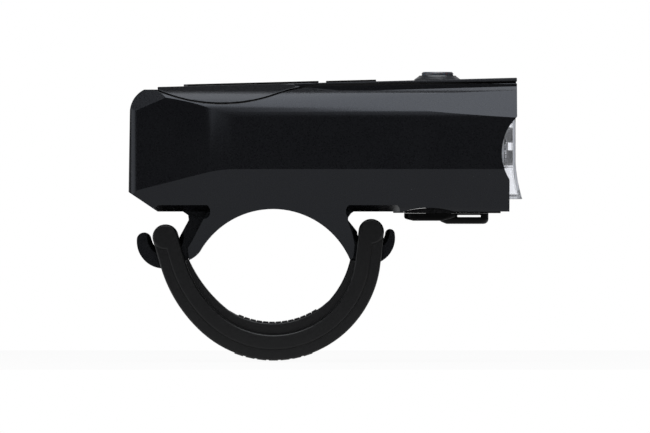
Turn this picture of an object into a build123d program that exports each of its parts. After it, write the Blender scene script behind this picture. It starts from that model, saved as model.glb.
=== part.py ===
# Bicycle headlight with a moulded handlebar saddle, two hooks and a rubber strap.
# Millimetres. X runs forward along the beam, Y across, Z up. The origin lies on the axis of the
# saddle's arch, where the handlebar goes.

import math
import os

from build123d import *

# Saddle and hooks
arch_radius = 19.13
leg_end_z = 7.5
leg_end_half = 6.0
leg_round = 2.8              # length over which the rear leg's foot curves up into the arch
left_leg_x = -19.1
right_leg_x = 17.6
hook_half = 4.0
hook_lip = 1.0               # bevel beside each cup
cup_radius = 3.2
left_cup_x = -24.5
left_cup_z = 12.75
left_hook_x = -24.85
left_hook_z = 11.76
left_hook_radius = 6.18
left_tip_radius = 1.65
left_tip_z = 12.15
right_cup_x = 22.4
right_cup_z = 14.0
right_hook_x = 21.77
right_hook_z = 12.56
right_hook_radius = 6.06
right_tip_radius = 1.1
right_tip_z = 13.5
scoop_rise = 1.7
scoop_round = 1.5            # rounding at the ends of the hollows, seen from the side

# Strap
strap_radius = 2.9           # half its thickness, and its end bars
strap_half = 9.0
bar_step = 0.2               # end bars inside the strap's round ends
strap_drop = 12.1            # arch axis down to the middle of the strap
rail_gap = 0.35              # strap rails beside the hooks
hook_gap = 0.5
grip_half = 6.2
grip_ribs = 7
grip_rib_rise = 0.35
grip_rib_width = 2.1
grip_span = 18.6

# In line along X: the charging port stands clear of the front hook, the cell lies behind it
# and the optics ahead of it, and both ends of the body follow from those.
wall = 1.6
port_clear = 2.07            # front hook to the port plate
seat_rear_reach = 7.8        # port plate behind the port's middle
usb_board_thick = 0.8
usb_port_thick = 3.2
usb_board_gap = 0.5
cell_length = 65.0
tail_room = 1.0              # cell to the rear wall
sink_gap = 0.5
sink_thick = 3.2
pad_thick = 0.2
led_board_thick = 1.2
optic_gap = 0.8
optic_depth = 8.1
lens_face_gap = 0.35
lens_face_wall = 1.5
brow_reach = 0.35            # brow ahead of the lens
seat_rear_x = right_hook_x + right_hook_radius + port_clear
port_x = seat_rear_x + seat_rear_reach
usb_board_x = port_x - usb_port_thick / 2 - usb_board_thick
cell_front_x = usb_board_x - usb_board_gap
cell_rear_x = cell_front_x - cell_length
rear_reach = wall + tail_room - cell_rear_x
sink_rear_x = port_x + usb_port_thick / 2 + sink_gap
led_face_x = sink_rear_x + sink_thick + pad_thick + led_board_thick
optic_rear_x = led_face_x + optic_gap
optic_front_x = optic_rear_x + optic_depth
lens_face_x = optic_front_x + lens_face_gap + lens_face_wall
front_reach = lens_face_x + brow_reach

# Body shell
rear_lean = 0.4              # how far the rear face leans forward by its top
body_bottom = 18.56          # underside
rear_corner_z = 23.0         # foot of the rear face
rear_chamfer_run = 6.6       # length of the sloping underside at the rear
rear_top_z = 46.3            # top of the housing behind the lid
rear_top_radius = 5.8
lid_set_back = 6.5           # rear face to where the lid starts
lid_step = 0.6
lid_rear_x = lid_set_back - rear_reach
lid_rear_z = rear_top_z + lid_step
lid_front_z = 49.0
body_half = 17.0             # half width at the flank
bottom_inset = 5.5           # flat underside inside the flank
bottom_half = body_half - bottom_inset
bottom_edge_rise = 0.9       # small edge chamfer under the lower facet
bottom_edge_run = 0.9
flank_low_z = 28.2
flank_high_z = 39.9
shoulder_radius = 7.14
shoulder_angle = 60.3
tail_length = 20.8           # how far from the rear face the flanks start to draw in
tail_inset = 2.8
tail_start_x = tail_length - rear_reach
tail_half = body_half - tail_inset
tail_blend_radius = 55.0
rear_corner_radius = 2.6
scoop_inset = 2.9            # hollows over the strap's ends, in from the flat underside's edge
scoop_half = bottom_half - scoop_inset

# Raised deck that carries the front of the lid, and the flat flares beside it
flare_length = 31.8
deck_run = 8.7               # full deck behind the flares
deck_ease = 10.0             # length over which the deck widens
deck_start_inset = 5.3
deck_inset = 3.6
deck_front_inset = 4.5
flare_start_x = front_reach - flare_length
deck_full_x = flare_start_x - deck_run
deck_start_x = deck_full_x - deck_ease
deck_start_half = body_half - deck_start_inset
deck_half = body_half - deck_inset
deck_front_half = body_half - deck_front_inset
deck_low_z = 44.0

# Front: lower lip, side windows, lens
lip_back = 1.7               # distances behind the brow
window_back = 3.5
lens_back = 5.3
lip_front_x = front_reach - lip_back
window_low_z = 25.8
window_deep_x = front_reach - window_back
window_deep_z = 31.8
window_high_z = 40.1
brow_wall = 1.8
lens_rim = 1.4               # housing round the lens
lens_fit = 0.1
lens_wall = 1.3
lens_rear_x = front_reach - lens_back
lens_low_z = 21.4
lens_high_z = 40.2
chin_start_z = 29.4
chin_mid_reach = 0.45        # chin ahead of the lens's face
chin_reach = 1.55
chin_mid_x = lens_face_x + chin_mid_reach
chin_mid_z = 26.0
chin_x = lens_face_x + chin_reach
seat_rib = 1.2               # thickness of the rib that the lens gasket lies on
seat_rib_depth = 1.5
lens_gasket_thick = 0.5

# Seam between lid and housing, as heights of the housing's edge
seam_drop = 0.3
seam_rear_z = rear_top_z - seam_drop
seam_turn_x = 0.6
seam_turn_z = 45.0
seam_dip_share = 0.561
seam_dip_x = lid_rear_x + seam_dip_share * (seam_turn_x - lid_rear_x)
seam_dip_z = 42.85
seam_ease_x = 12.3
seam_ease_z = 47.1
seam_front_z = 47.75
seam_gap = 0.4
seam_set_back = 0.4          # gasket behind the outer surface
gasket_width = 1.0
lid_wall = 1.3
lid_plug_thick = 1.7
lid_fit = 0.1
opening_inset = 6.0          # opening in the deck, in from the flanks and the ends
opening_set_back = 2.3
opening_front_back = 10.5
opening_half = body_half - opening_inset
opening_rear_x = lid_rear_x + opening_set_back
opening_front_x = front_reach - opening_front_back
opening_radius = 2.5
snap_width = 4.0
snap_drop = 2.2
snap_thick = 0.8

# Button
button_back = 18.0           # behind the brow
button_x = front_reach - button_back
cap_radius = 3.6
cap_top_z = 50.4
cap_edge = 0.3
cap_dish = 0.12
bezel_radius = 5.3
bezel_lip = 0.45
bezel_rise = 0.9
bezel_sleeve = 0.7
bezel_fit = 0.06
press_travel = 0.5
flange_thick = 0.5
flange_extra = 0.6
stem_radius = 1.2

# Plates on the lid
plate_proud = 0.45
plate_sunk = 0.5
plate_inset = 4.9
plate_half = deck_half - plate_inset
plate_radius = 1.5
plate_fit = 0.05
plate_gap = 1.7
status_gap = 14.0            # button to the small plate
status_length = 11.4
status_half = 4.5
inlay_set_back = 6.0
status_front_x = button_x - status_gap
status_rear_x = status_front_x - status_length
inlay_front_x = status_rear_x - plate_gap
inlay_rear_x = lid_rear_x + inlay_set_back

# Cavity and contents
floor_thick = 2.04
floor_z = body_bottom + floor_thick
ceiling_z = 45.6
cell_radius = 9.2
cell_lift = 2.7              # floor to cell
cell_z = floor_z + cell_lift + cell_radius
cell_play = 0.15
cell_cap_radius = 3.0
cell_cap_thick = 0.6
tab_thick = 0.2
tab_half = 3.0
cradle_wall = 1.4            # outside the cell's radius
cradle_half = cell_radius + cradle_wall
cradle_rear_gap = 4.7
cradle_front_gap = 0.5
cradle_rear_x = cell_rear_x + cradle_rear_gap
cradle_front_x = cell_front_x - cradle_front_gap
cradle_lift = 0.2
cradle_window = 12.0
lug_drop = 4.0
lug_width = 3.4
board_set_back = 8.2         # cell's rear end to the board's
board_over_sink = 2.7
board_rear_x = cell_rear_x + board_set_back
board_front_x = sink_rear_x + board_over_sink
board_thick = 1.0
board_gap = 0.6              # cell to board
foam_half = 5.0
foam_play = 0.05
usb_board_half = 9.0
usb_port_half = 4.5
usb_port_height = 7.3
usb_shell = 0.3
usb_lift = 0.3               # mouth above the floor
sink_inset = 0.2
sink_half = cradle_half - sink_inset
sink_foot = 3.4
sink_low_z = floor_z + sink_foot
sink_fins = 5
sink_fin_depth = 1.4
led_board_radius = 9.4
led_half = 1.7
led_thick = 0.7
dome_radius = 1.3
optic_z = 33.4
optic_flange = 0.8
optic_radius = 4.6
optic_edge = 0.15
optic_root_radius = 2.6
optic_well_radius = 1.9
optic_well_depth = 3.0
led_offset = 6.2             # each light source from the middle
led_screw_rise = 5.6
holder_wall = 0.8
holder_play = 0.15
holder_plate = 1.0
screw_radius = 1.0
screw_head = 1.8
screw_head_thick = 0.9
screw_length = 3.4
wire_radius = 0.5

# Charging port
port_half_x = 3.3
port_half_y = 6.2
seat_front_reach = 14.1      # ahead of the port's middle, as the next ones
seat_arch_reach = 3.6
flap_front_reach = 1.9
tab_root_reach = 0.9
tab_front_reach = 11.4
slit_rear_reach = 4.3
slit_front_reach = 9.7
seat_front_x = port_x + seat_front_reach
seat_arch_front_x = port_x + seat_arch_reach
seat_arch_rise = 0.82
seat_thick = 0.36
seat_inset = 0.5
seat_half = bottom_half - seat_inset
seat_fit = 0.05
flap_gap = 0.1
flap_thick = 1.6
flap_front_x = port_x + flap_front_reach
flap_half = 7.5
flap_rear_chamfer = 1.2
tab_front_x = port_x + tab_front_reach
tab_hang = 2.76              # underside of the body to the tab's
tab_bottom_z = body_bottom - tab_hang
tab_rear_x = port_x + tab_root_reach
tab_width_half = 5.0
slit_rear_x = port_x + slit_rear_reach
slit_front_x = port_x + slit_front_reach
slit_lift = 1.4
slit_height = 0.6
slit_low_z = tab_bottom_z + slit_lift
slit_high_z = slit_low_z + slit_height
flap_plug_play = 0.45
flap_plug_height = 1.5
anchor_length = 2.5
anchor_rear_x = seat_rear_x - anchor_length
anchor_half = 3.0
anchor_thick = 0.3
anchor_peg_radius = 0.9
anchor_peg_back = 1.4
anchor_peg_x = seat_rear_x - anchor_peg_back
anchor_peg_height = 1.5

over = 2.0                   # how far a cut runs past what it cuts
big = 60.0                   # reach of blocks that only limit a shape


def side_solid(face, half):
    return extrude(Plane.XZ * face, half, both=True)


def cross_solid(face, start, end):
    return extrude(Plane.YZ.offset(start) * face, end - start)


def plan_solid(face, low, high):
    return Pos(0, 0, low) * extrude(face, high - low)


def block(x, y, z):
    return Pos((x[0] + x[1]) / 2, (y[0] + y[1]) / 2, (z[0] + z[1]) / 2) * Box(
        x[1] - x[0], y[1] - y[0], z[1] - z[0]
    )


def disc(centre, axis, radius, length):
    return Plane(origin=centre, z_dir=axis) * extrude(Circle(radius), length)


def polygon(*points):
    return make_face(Polyline(*points, close=True))


def inset_face(face, amount):
    if amount:
        return offset(face, -amount, kind=Kind.INTERSECTION)
    return face


def lid_z(x):
    slope = (lid_front_z - lid_rear_z) / (front_reach - lid_rear_x)
    return lid_rear_z + slope * (x - lid_rear_x)


def side_face():
    foot_x = -rear_reach + rear_chamfer_run
    head_x = -rear_reach + rear_lean
    face = polygon(
        (-rear_reach, rear_corner_z),
        (foot_x, body_bottom),
        (front_reach, body_bottom),
        (front_reach, lid_front_z),
        (head_x, lid_z(head_x)),
    )
    corner = face.vertices().sort_by(Axis.Y)[-2:].sort_by(Axis.X)[0]
    return fillet(corner, rear_top_radius)


def section_face():
    bend = math.radians(shoulder_angle)
    arc_y = body_half - shoulder_radius * (1 - math.cos(bend))
    arc_z = flank_high_z + shoulder_radius * math.sin(bend)
    top_z = lid_front_z + over
    top_y = arc_y - (top_z - arc_z) * math.tan(bend)
    facet_y = bottom_half + bottom_edge_run
    facet_z = body_bottom + bottom_edge_rise
    edge = Polyline(
        (0, body_bottom),
        (bottom_half, body_bottom),
        (facet_y, facet_z),
        (body_half, flank_low_z),
        (body_half, flank_high_z),
    )
    shoulder = CenterArc(
        (body_half - shoulder_radius, flank_high_z), shoulder_radius, 0, shoulder_angle
    )
    top = Polyline((arc_y, arc_z), (top_y, top_z), (0, top_z), (0, body_bottom))
    half = make_face(edge + shoulder + top)
    return half + mirror(half, Plane.YZ)


def plan_face():
    end_x = front_reach + big
    face = polygon(
        (-rear_reach, -tail_half),
        (tail_start_x, -body_half),
        (end_x, -body_half),
        (end_x, body_half),
        (tail_start_x, body_half),
        (-rear_reach, tail_half),
    )
    corners = face.vertices().group_by(Axis.X)
    face = fillet(corners[1], tail_blend_radius)
    return fillet(face.vertices().group_by(Axis.X)[0], rear_corner_radius)


def deck_face(inset):
    end_x = front_reach + over
    right = [
        (deck_start_x, deck_start_half - inset),
        (deck_full_x, deck_half - inset),
        (flare_start_x, deck_half - inset),
        (end_x, deck_front_half - inset),
    ]
    left = [(x, -y) for x, y in reversed(right)]
    return polygon(*right, *left)


def flare_cut(side, inset):
    bend = math.radians(shoulder_angle)
    arc_y = body_half - shoulder_radius * (1 - math.cos(bend))
    arc_z = flank_high_z + shoulder_radius * math.sin(bend)
    mid_y = body_half - shoulder_radius * (1 - math.cos(bend / 2))
    mid_z = flank_high_z + shoulder_radius * math.sin(bend / 2)
    foot = Vector(front_reach, side * body_half, flank_high_z)
    head = Vector(front_reach, side * arc_y, arc_z)
    rear = Vector(flare_start_x, side * mid_y, mid_z)
    outward = (head - foot).cross(rear - foot).normalized()
    if outward.Y * side < 0:
        outward = outward * -1
    plane = Plane(origin=foot - outward * inset, x_dir=head - foot, z_dir=outward)
    return plane * Pos(0, 0, big / 2) * Box(big * 2, big * 3, big)


def envelope(inset=0.0):
    shape = cross_solid(inset_face(section_face(), inset), -rear_reach - over, front_reach + over)
    shape += plan_solid(deck_face(inset), deck_low_z, lid_front_z + over)
    shape &= side_solid(inset_face(side_face(), inset), body_half + over)
    shape &= plan_solid(inset_face(plan_face(), inset), body_bottom - over, lid_front_z + over)
    shape -= block(
        (-rear_reach - over, lid_rear_x), (-big, big), (rear_top_z - inset, lid_front_z + over)
    )
    for side in (1, -1):
        shape -= flare_cut(side, inset)
    return shape


def seam_edge(lift):
    dip = ThreePointArc(
        (lid_rear_x, seam_rear_z + lift),
        (seam_dip_x, seam_dip_z + lift),
        (seam_turn_x, seam_turn_z + lift),
    )
    ease = TangentArc(dip @ 1, (seam_ease_x, seam_ease_z + lift), tangent=dip % 1)
    run = Line(ease @ 1, (front_reach + over, seam_front_z + lift))
    return dip + ease + run


def above_seam(lift, start):
    high = lid_front_z + over
    edge = seam_edge(lift)
    rest = Polyline(
        (front_reach + over, seam_front_z + lift),
        (front_reach + over, high),
        (lid_rear_x, high),
        (lid_rear_x, seam_rear_z + lift),
    )
    shape = side_solid(make_face(edge + rest), body_half + over)
    return shape & block((start, front_reach + big), (-big, big), (0, big * 2))


def opening_solid(shrink, low, high):
    x0 = opening_rear_x + shrink
    x1 = opening_front_x - shrink
    half = opening_half - shrink
    shape = Pos((x0 + x1) / 2, 0) * RectangleRounded(x1 - x0, 2 * half, opening_radius - shrink)
    return plan_solid(shape, low, high)


def lens_section(inset, low, high):
    band = Pos(0, (low + high) / 2) * Rectangle(2 * body_half, high - low)
    return inset_face(section_face(), inset) & band


def saddle_taper():
    # The lower facet carries on down the saddle's sides.
    facet_y = bottom_half + bottom_edge_run
    facet_z = body_bottom + bottom_edge_rise
    return polygon(
        (-leg_end_half, leg_end_z - over),
        (leg_end_half, leg_end_z - over),
        (facet_y, facet_z),
        (facet_y, facet_z + over),
        (-facet_y, facet_z + over),
        (-facet_y, facet_z),
    )


def saddle_solid():
    root_z = floor_z - wall / 2
    left_x = left_cup_x + cup_radius
    right_x = right_cup_x - cup_radius
    foot_top_z = leg_end_z + leg_round * 0.87
    foot = ThreePointArc(
        (left_leg_x, leg_end_z),
        (left_leg_x + leg_round * 0.55, leg_end_z + leg_round * 0.34),
        (left_leg_x + leg_round, foot_top_z),
    )
    rest = Polyline(
        (left_leg_x + leg_round, foot_top_z),
        (0, foot_top_z),
        (right_leg_x, leg_end_z),
        (right_x - hook_gap * 1.8, leg_end_z + hook_gap),
        (right_x - hook_gap * 1.2, right_hook_z - cup_radius / 2),
        (right_x - hook_gap * 2, right_hook_z + hook_gap),
        (right_x - cup_radius * 0.65, right_cup_z + cup_radius * 0.72),
        (right_x - cup_radius * 0.65, right_cup_z + cup_radius),
        (right_x - cup_radius * 0.35, body_bottom),
        (right_x - cup_radius * 0.35, root_z),
        (left_x + cup_radius * 2.2, root_z),
        (left_x + cup_radius * 0.9, left_hook_z),
        (left_leg_x - hook_gap / 2, left_hook_z - hook_gap * 3),
        (left_leg_x, leg_end_z),
    )
    shape = side_solid(make_face(foot + rest), body_half)
    return shape & cross_solid(saddle_taper(), -rear_reach, front_reach)


def hook_solid(cup, hook, radius, tip_radius, tip_z, side):
    # side is -1 for the rear hook and 1 for the front one
    cup_x, cup_z = cup
    hook_x, hook_z = hook
    tip_x = hook_x + side * (math.sqrt(radius**2 - (tip_z - hook_z) ** 2) - tip_radius)
    neck_x = cup_x - side * cup_radius
    root_z = floor_z - wall / 2
    low = Pos(hook_x, hook_z) * Circle(radius)
    low -= Pos(hook_x, tip_z + big / 2) * Rectangle(big, big)
    arm = polygon(
        (neck_x - side * cup_radius * 0.25, root_z),
        (neck_x - side * cup_radius * 0.25, body_bottom),
        (neck_x - side * cup_radius * 0.62, body_bottom - cup_radius * 0.25),
        (neck_x - side * cup_radius * 0.66, body_bottom - cup_radius * 0.6),
        (neck_x, cup_z),
        (cup_x, hook_z),
        (hook_x, hook_z - radius),
        (neck_x - side * cup_radius * 0.8, leg_end_z + hook_gap),
        (neck_x - side * cup_radius * 1.9, body_bottom - cup_radius),
        (neck_x - side * cup_radius * 2.1, root_z),
    )
    tip = Pos(tip_x, tip_z) * Circle(tip_radius)
    shape = low + arm + tip
    shape -= Pos(cup_x, cup_z) * Circle(cup_radius)
    mouth = Pos(cup_x, cup_z + big / 4) * Rectangle(2 * cup_radius, big / 2)
    keep = block((-big, big), (-big, big), (0, body_bottom - cup_radius * 0.05))
    solid = side_solid(shape, hook_half) - (side_solid(mouth, hook_half + over) & keep)
    ends = solid.faces().sort_by(Axis.Y)
    rims = (ends[0].edges() + ends[-1].edges()).filter_by(GeomType.CIRCLE)
    return chamfer([rim for rim in rims if math.isclose(rim.radius, cup_radius)], hook_lip)


def scoop_cuts():
    # Slanting hollows under the lower facet, beside the saddle, over the strap's ends.
    facet_y = bottom_half + bottom_edge_run + scoop_rise * 0.55
    cuts = []
    rear = (lid_rear_x - rear_corner_radius * 0.2, left_cup_x + cup_radius * 3.2)
    front = (right_cup_x - cup_radius * 1.8, seat_rear_x - hook_gap * 2)
    for start, end in (rear, front):
        for side in (1, -1):
            face = polygon(
                (side * scoop_half, body_bottom),
                (side * facet_y, body_bottom + scoop_rise),
                (side * (facet_y + over), body_bottom + scoop_rise),
                (side * (facet_y + over), body_bottom - over),
                (side * scoop_half, body_bottom - over),
            )
            ends = Pos((start + end) / 2, body_bottom) * RectangleRounded(
                end - start, 2 * scoop_rise, scoop_round)
            cuts.append(cross_solid(face, start, end) & side_solid(ends, body_half))
    return cuts


def window_cut():
    # Everything ahead of the housing's front edge, with the side windows as an arc.
    edge = ThreePointArc(
        (lip_front_x, window_low_z), (window_deep_x, window_deep_z), (front_reach, window_high_z)
    )
    rest = Polyline(
        (front_reach, window_high_z),
        (front_reach + over, window_high_z),
        (front_reach + over, body_bottom - over),
        (lip_front_x, body_bottom - over),
        (lip_front_x, window_low_z),
    )
    return side_solid(make_face(edge + rest), body_half + over)


def cavity():
    limits = block((-big, front_reach - brow_wall), (-big, big), (floor_z, ceiling_z))
    return envelope(wall) & limits


def port_slot(shrink, low, high):
    half_x = port_half_x - shrink
    half_y = port_half_y - shrink
    face = Pos(port_x, 0) * RectangleRounded(2 * half_x, 2 * half_y, half_x * 0.9)
    return plan_solid(face, low, high)


def seat_profile(grow):
    x0 = seat_rear_x - grow
    x1 = seat_arch_front_x + grow
    crown = body_bottom + seat_arch_rise + grow
    arch = ThreePointArc((x0, body_bottom), ((x0 + x1) / 2, crown), (x1, body_bottom))
    low = body_bottom - seat_thick
    front = max(seat_front_x, x1)
    rest = Polyline((x1, body_bottom), (front, body_bottom), (front, low), (x0, low), (x0, body_bottom))
    return make_face(arch + rest)


def make_housing():
    shape = envelope() - above_seam(0, lid_rear_x)
    shape += saddle_solid()
    shape += hook_solid(
        (left_cup_x, left_cup_z), (left_hook_x, left_hook_z), left_hook_radius,
        left_tip_radius, left_tip_z, -1,
    )
    shape += hook_solid(
        (right_cup_x, right_cup_z), (right_hook_x, right_hook_z), right_hook_radius,
        right_tip_radius, right_tip_z, 1,
    )
    shape -= disc((0, -body_half - over, 0), (0, 1, 0), arch_radius, 2 * (body_half + over))
    for cut in scoop_cuts():
        shape -= cut
    shape -= window_cut()
    shape -= cavity()
    shape -= opening_solid(0, floor_z, lid_front_z)
    rib_face = lens_section(wall / 2, lens_low_z - lens_rim, lens_high_z + lens_rim)
    rib_face -= lens_section(wall + seat_rib_depth, lens_low_z + seat_rib_depth,
                             lens_high_z - seat_rib_depth)
    rib_front = lens_rear_x - lens_gasket_thick
    shape += cross_solid(rib_face, rib_front - seat_rib, rib_front)
    mouth = lens_section(lens_rim, lens_low_z - lens_fit, lens_high_z + lens_fit)
    shape -= cross_solid(mouth, rib_front, front_reach + over)
    shape -= side_solid(seat_profile(seat_fit), body_half)
    shape -= port_slot(0, body_bottom - over, floor_z + over)
    peg_hole = anchor_peg_radius + seat_fit
    shape -= disc((anchor_peg_x, 0, body_bottom - over), (0, 0, 1), peg_hole,
                  over + anchor_peg_height + seat_fit)
    return shape


def make_top_cover():
    shape = envelope() & above_seam(seam_gap, lid_rear_x + lid_fit)
    shape -= envelope(lid_wall) & above_seam(0, lid_rear_x + lid_wall)
    plug = opening_solid(lid_fit, seam_dip_z, lid_front_z)
    slope = polygon(
        (opening_rear_x, lid_z(opening_rear_x) - lid_plug_thick),
        (opening_front_x, lid_z(opening_front_x) - lid_plug_thick),
        (opening_front_x, lid_z(opening_front_x) - lid_fit),
        (opening_rear_x, lid_z(opening_rear_x) - lid_fit),
    )
    shape += plug & side_solid(slope, body_half)
    for x in (seam_ease_x, button_x - bezel_radius * 2):
        for side in (1, -1):
            y = side * (opening_half - lid_fit - snap_thick / 2)
            low = lid_z(x) - lid_plug_thick - snap_drop
            shape += Pos(x, y, low + snap_drop / 2 + snap_thick / 4) * Box(
                snap_width, snap_thick, snap_drop + snap_thick / 2
            )
    for x0, x1, half in plate_places():
        shape -= plate_solid(x0, x1, half, plate_sunk, plate_proud, plate_fit)
    sleeve = cap_radius + bezel_fit + bezel_sleeve + bezel_fit
    shape -= disc((button_x, 0, ceiling_z - over), (0, 0, 1), sleeve, lid_front_z - ceiling_z + over * 2)
    return shape


def plate_places():
    return (
        (inlay_rear_x, inlay_front_x, plate_half),
        (status_rear_x, status_front_x, status_half),
    )


def plate_solid(x0, x1, half, sunk, proud, grow):
    face = Pos((x0 + x1) / 2, 0) * RectangleRounded(
        x1 - x0 + 2 * grow, 2 * (half + grow), plate_radius + grow
    )
    strip = polygon(
        (x0 - over, lid_z(x0 - over) - sunk),
        (x1 + over, lid_z(x1 + over) - sunk),
        (x1 + over, lid_z(x1 + over) + proud),
        (x0 - over, lid_z(x0 - over) + proud),
    )
    return plan_solid(face, ceiling_z - over, lid_front_z + over) & side_solid(strip, body_half)


def make_cover_gasket():
    band = above_seam(0, lid_rear_x + lid_fit) - above_seam(seam_gap, lid_rear_x)
    shape = band & envelope(seam_set_back)
    shape -= envelope(seam_set_back + gasket_width) & block(
        (-big, big), (-big, big), (0, seam_front_z)
    )
    return shape - opening_solid(0, seam_dip_z - over, lid_front_z)


def make_top_inlay():
    x0, x1, half = plate_places()[0]
    return plate_solid(x0, x1, half, plate_sunk, plate_proud, 0)


def make_status_window():
    x0, x1, half = plate_places()[1]
    return plate_solid(x0, x1, half, plate_sunk, plate_proud, 0)


def board_z():
    return cell_z + cell_radius + board_gap


def surface_at_button():
    return lid_z(button_x + bezel_radius)


def revolve_up(points, x):
    face = make_face(Polyline(*points, close=True))
    return Pos(x, 0, 0) * revolve(Plane.XZ * face, Axis.Z)


def make_button_bezel():
    bore = cap_radius + bezel_fit
    sleeve = bore + bezel_sleeve
    top = surface_at_button() + bezel_rise
    foot = surface_at_button() - bezel_lip
    low = lid_z(button_x) - lid_plug_thick
    ring = revolve_up(
        [(bore, low), (sleeve, low), (sleeve, foot), (bezel_radius, foot),
         (bezel_radius, foot + bezel_lip), (sleeve, top - bezel_lip / 2), (sleeve - bezel_lip / 2, top),
         (bore, top)],
        button_x,
    )
    lid_under = polygon(
        (button_x - big, lid_z(button_x - big)),
        (button_x + big, lid_z(button_x + big)),
        (button_x + big, 0),
        (button_x - big, 0),
    )
    hidden = side_solid(lid_under, big) - disc((button_x, 0, 0), (0, 0, 1), sleeve, big * 2)
    return ring - hidden


def plunger_top_z():
    return board_z() + board_thick + switch_height() + press_travel


def switch_height():
    return board_thick * 1.6


def make_power_button():
    low = lid_z(button_x) - lid_plug_thick - bezel_fit
    stem_low = plunger_top_z() + bezel_fit
    dish_z = cap_top_z - cap_dish
    profile = [
        (0, stem_low), (stem_radius, stem_low), (stem_radius, low - flange_thick),
        (cap_radius + flange_extra, low - flange_thick), (cap_radius + flange_extra, low),
        (cap_radius, low), (cap_radius, cap_top_z - cap_edge),
        (cap_radius - cap_edge, cap_top_z), (cap_radius * 0.7, cap_top_z),
        (cap_radius * 0.5, dish_z), (0, dish_z),
    ]
    return revolve_up(profile, button_x)


def make_tact_switch():
    base_z = board_z() + board_thick
    side = stem_radius * 3.75
    body = Pos(button_x, 0, base_z + switch_height() / 2) * Box(side, side, switch_height())
    body = chamfer(body.edges().filter_by(Axis.Z), side / 9)
    hole = stem_radius + bezel_fit
    return body - disc((button_x, 0, base_z + switch_height() / 6), (0, 0, 1), hole, switch_height())


def make_switch_plunger():
    base = board_z() + board_thick + switch_height() / 6 + press_travel + bezel_fit
    return disc((button_x, 0, base), (0, 0, 1), stem_radius, plunger_top_z() - base)


def lens_profile(grow_back, wall_in):
    chin = ThreePointArc(
        (lens_face_x - wall_in, chin_start_z),
        (chin_mid_x - wall_in, chin_mid_z),
        (chin_x - wall_in, lens_low_z),
    )
    rest = Polyline(
        (chin_x - wall_in, lens_low_z),
        (lens_rear_x - grow_back, lens_low_z),
        (lens_rear_x - grow_back, lens_high_z),
        (lens_face_x - wall_in, lens_high_z),
        (lens_face_x - wall_in, chin_start_z),
    )
    return make_face(chin + rest)


def make_front_lens():
    section = lens_section(lens_rim + lens_fit, lens_low_z, lens_high_z)
    outer = cross_solid(section, lens_rear_x, chin_x + over) & side_solid(lens_profile(0, 0), body_half)
    hollow = lens_section(lens_rim + lens_fit + lens_wall, lens_low_z + lens_wall, lens_high_z - lens_wall)
    inner = cross_solid(hollow, lens_rear_x - over, chin_x + over)
    inner &= side_solid(lens_profile(over, lens_face_wall), body_half)
    return outer - inner


def make_lens_gasket():
    play = lens_rim + lens_fit
    face = lens_section(play, lens_low_z, lens_high_z)
    face -= lens_section(play + lens_wall, lens_low_z + lens_wall, lens_high_z - lens_wall)
    return cross_solid(face, lens_rear_x - lens_gasket_thick, lens_rear_x)


def revolve_beam(edges, side):
    return Pos(0, side * led_offset, optic_z) * revolve(Plane.XY * make_face(edges), Axis.X)


def optic_bowl(grow):
    flange_x = optic_front_x - optic_flange
    mid_x = (optic_rear_x + flange_x) / 2
    mid_r = (optic_radius + optic_root_radius) / 2 + optic_flange / 2
    return ThreePointArc(
        (optic_rear_x, optic_root_radius + grow), (mid_x, mid_r + grow),
        (flange_x, optic_radius + grow),
    )


def make_collimator():
    # Two reflecting cones, each with a well for its light source, joined by one flange.
    flange_x = optic_front_x - optic_flange
    well_x = optic_rear_x + optic_well_depth
    lens_x = well_x + optic_well_radius * 0.4
    rest = Polyline((flange_x, optic_radius), (flange_x + optic_flange / 2, optic_radius),
                    (flange_x + optic_flange / 2, 0), (well_x, 0))
    dome = ThreePointArc(
        (well_x, 0), (well_x + optic_well_radius * 0.1, optic_well_radius / 2),
        (lens_x, optic_well_radius),
    )
    root = Polyline((lens_x, optic_well_radius), (optic_rear_x, optic_well_radius),
                    (optic_rear_x, optic_root_radius))
    half_y = led_offset + optic_radius + optic_edge
    half_z = optic_radius + optic_edge
    plate = Pos(0, optic_z) * RectangleRounded(2 * half_y, 2 * half_z, half_z * 0.95)
    shape = cross_solid(plate, flange_x, optic_front_x)
    for side in (1, -1):
        shape += revolve_beam(optic_bowl(0) + rest + dome + root, side)
    return shape


def make_optic_holder():
    flange_x = optic_front_x - optic_flange
    plate_rear = flange_x - holder_plate
    base_x = led_face_x
    foot_r = optic_root_radius + holder_play
    outer_r = optic_radius + holder_play + holder_wall
    rest = Polyline(
        (flange_x, optic_radius + holder_play), (flange_x, outer_r), (plate_rear, outer_r),
        (base_x + holder_wall * 2, foot_r + holder_wall * 2), (base_x, foot_r + holder_wall * 2),
        (base_x, foot_r), (optic_rear_x, foot_r),
    )
    inset = lens_rim + lens_fit + lens_wall + holder_play
    low = lens_low_z + lens_wall + holder_play
    high = lens_high_z - lens_wall - holder_play
    shape = cross_solid(lens_section(inset, low, high), plate_rear, flange_x)
    for side in (1, -1):
        shape -= disc((plate_rear - over, side * led_offset, optic_z), (1, 0, 0),
                      optic_radius + holder_play * 2, over * 2 + holder_plate)
    for side in (1, -1):
        cone = revolve_beam(optic_bowl(holder_play) + rest, side)
        shape += cone & block((base_x, flange_x), (-big, big), (low, high))
    return shape


def make_led_emitters():
    x = led_face_x
    leds = []
    for side in (1, -1):
        y = side * led_offset
        base = block((x, x + led_thick), (y - led_half, y + led_half),
                     (optic_z - led_half, optic_z + led_half))
        dome = Pos(x + led_thick, y, optic_z) * Sphere(dome_radius)
        leds.append(base + (dome & block((x + led_thick / 2, x + big), (-big, big), (0, big * 2))))
    return Compound(children=leds)


def led_screw_places():
    return [(0, optic_z + side * led_screw_rise) for side in (1, -1)]


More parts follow.
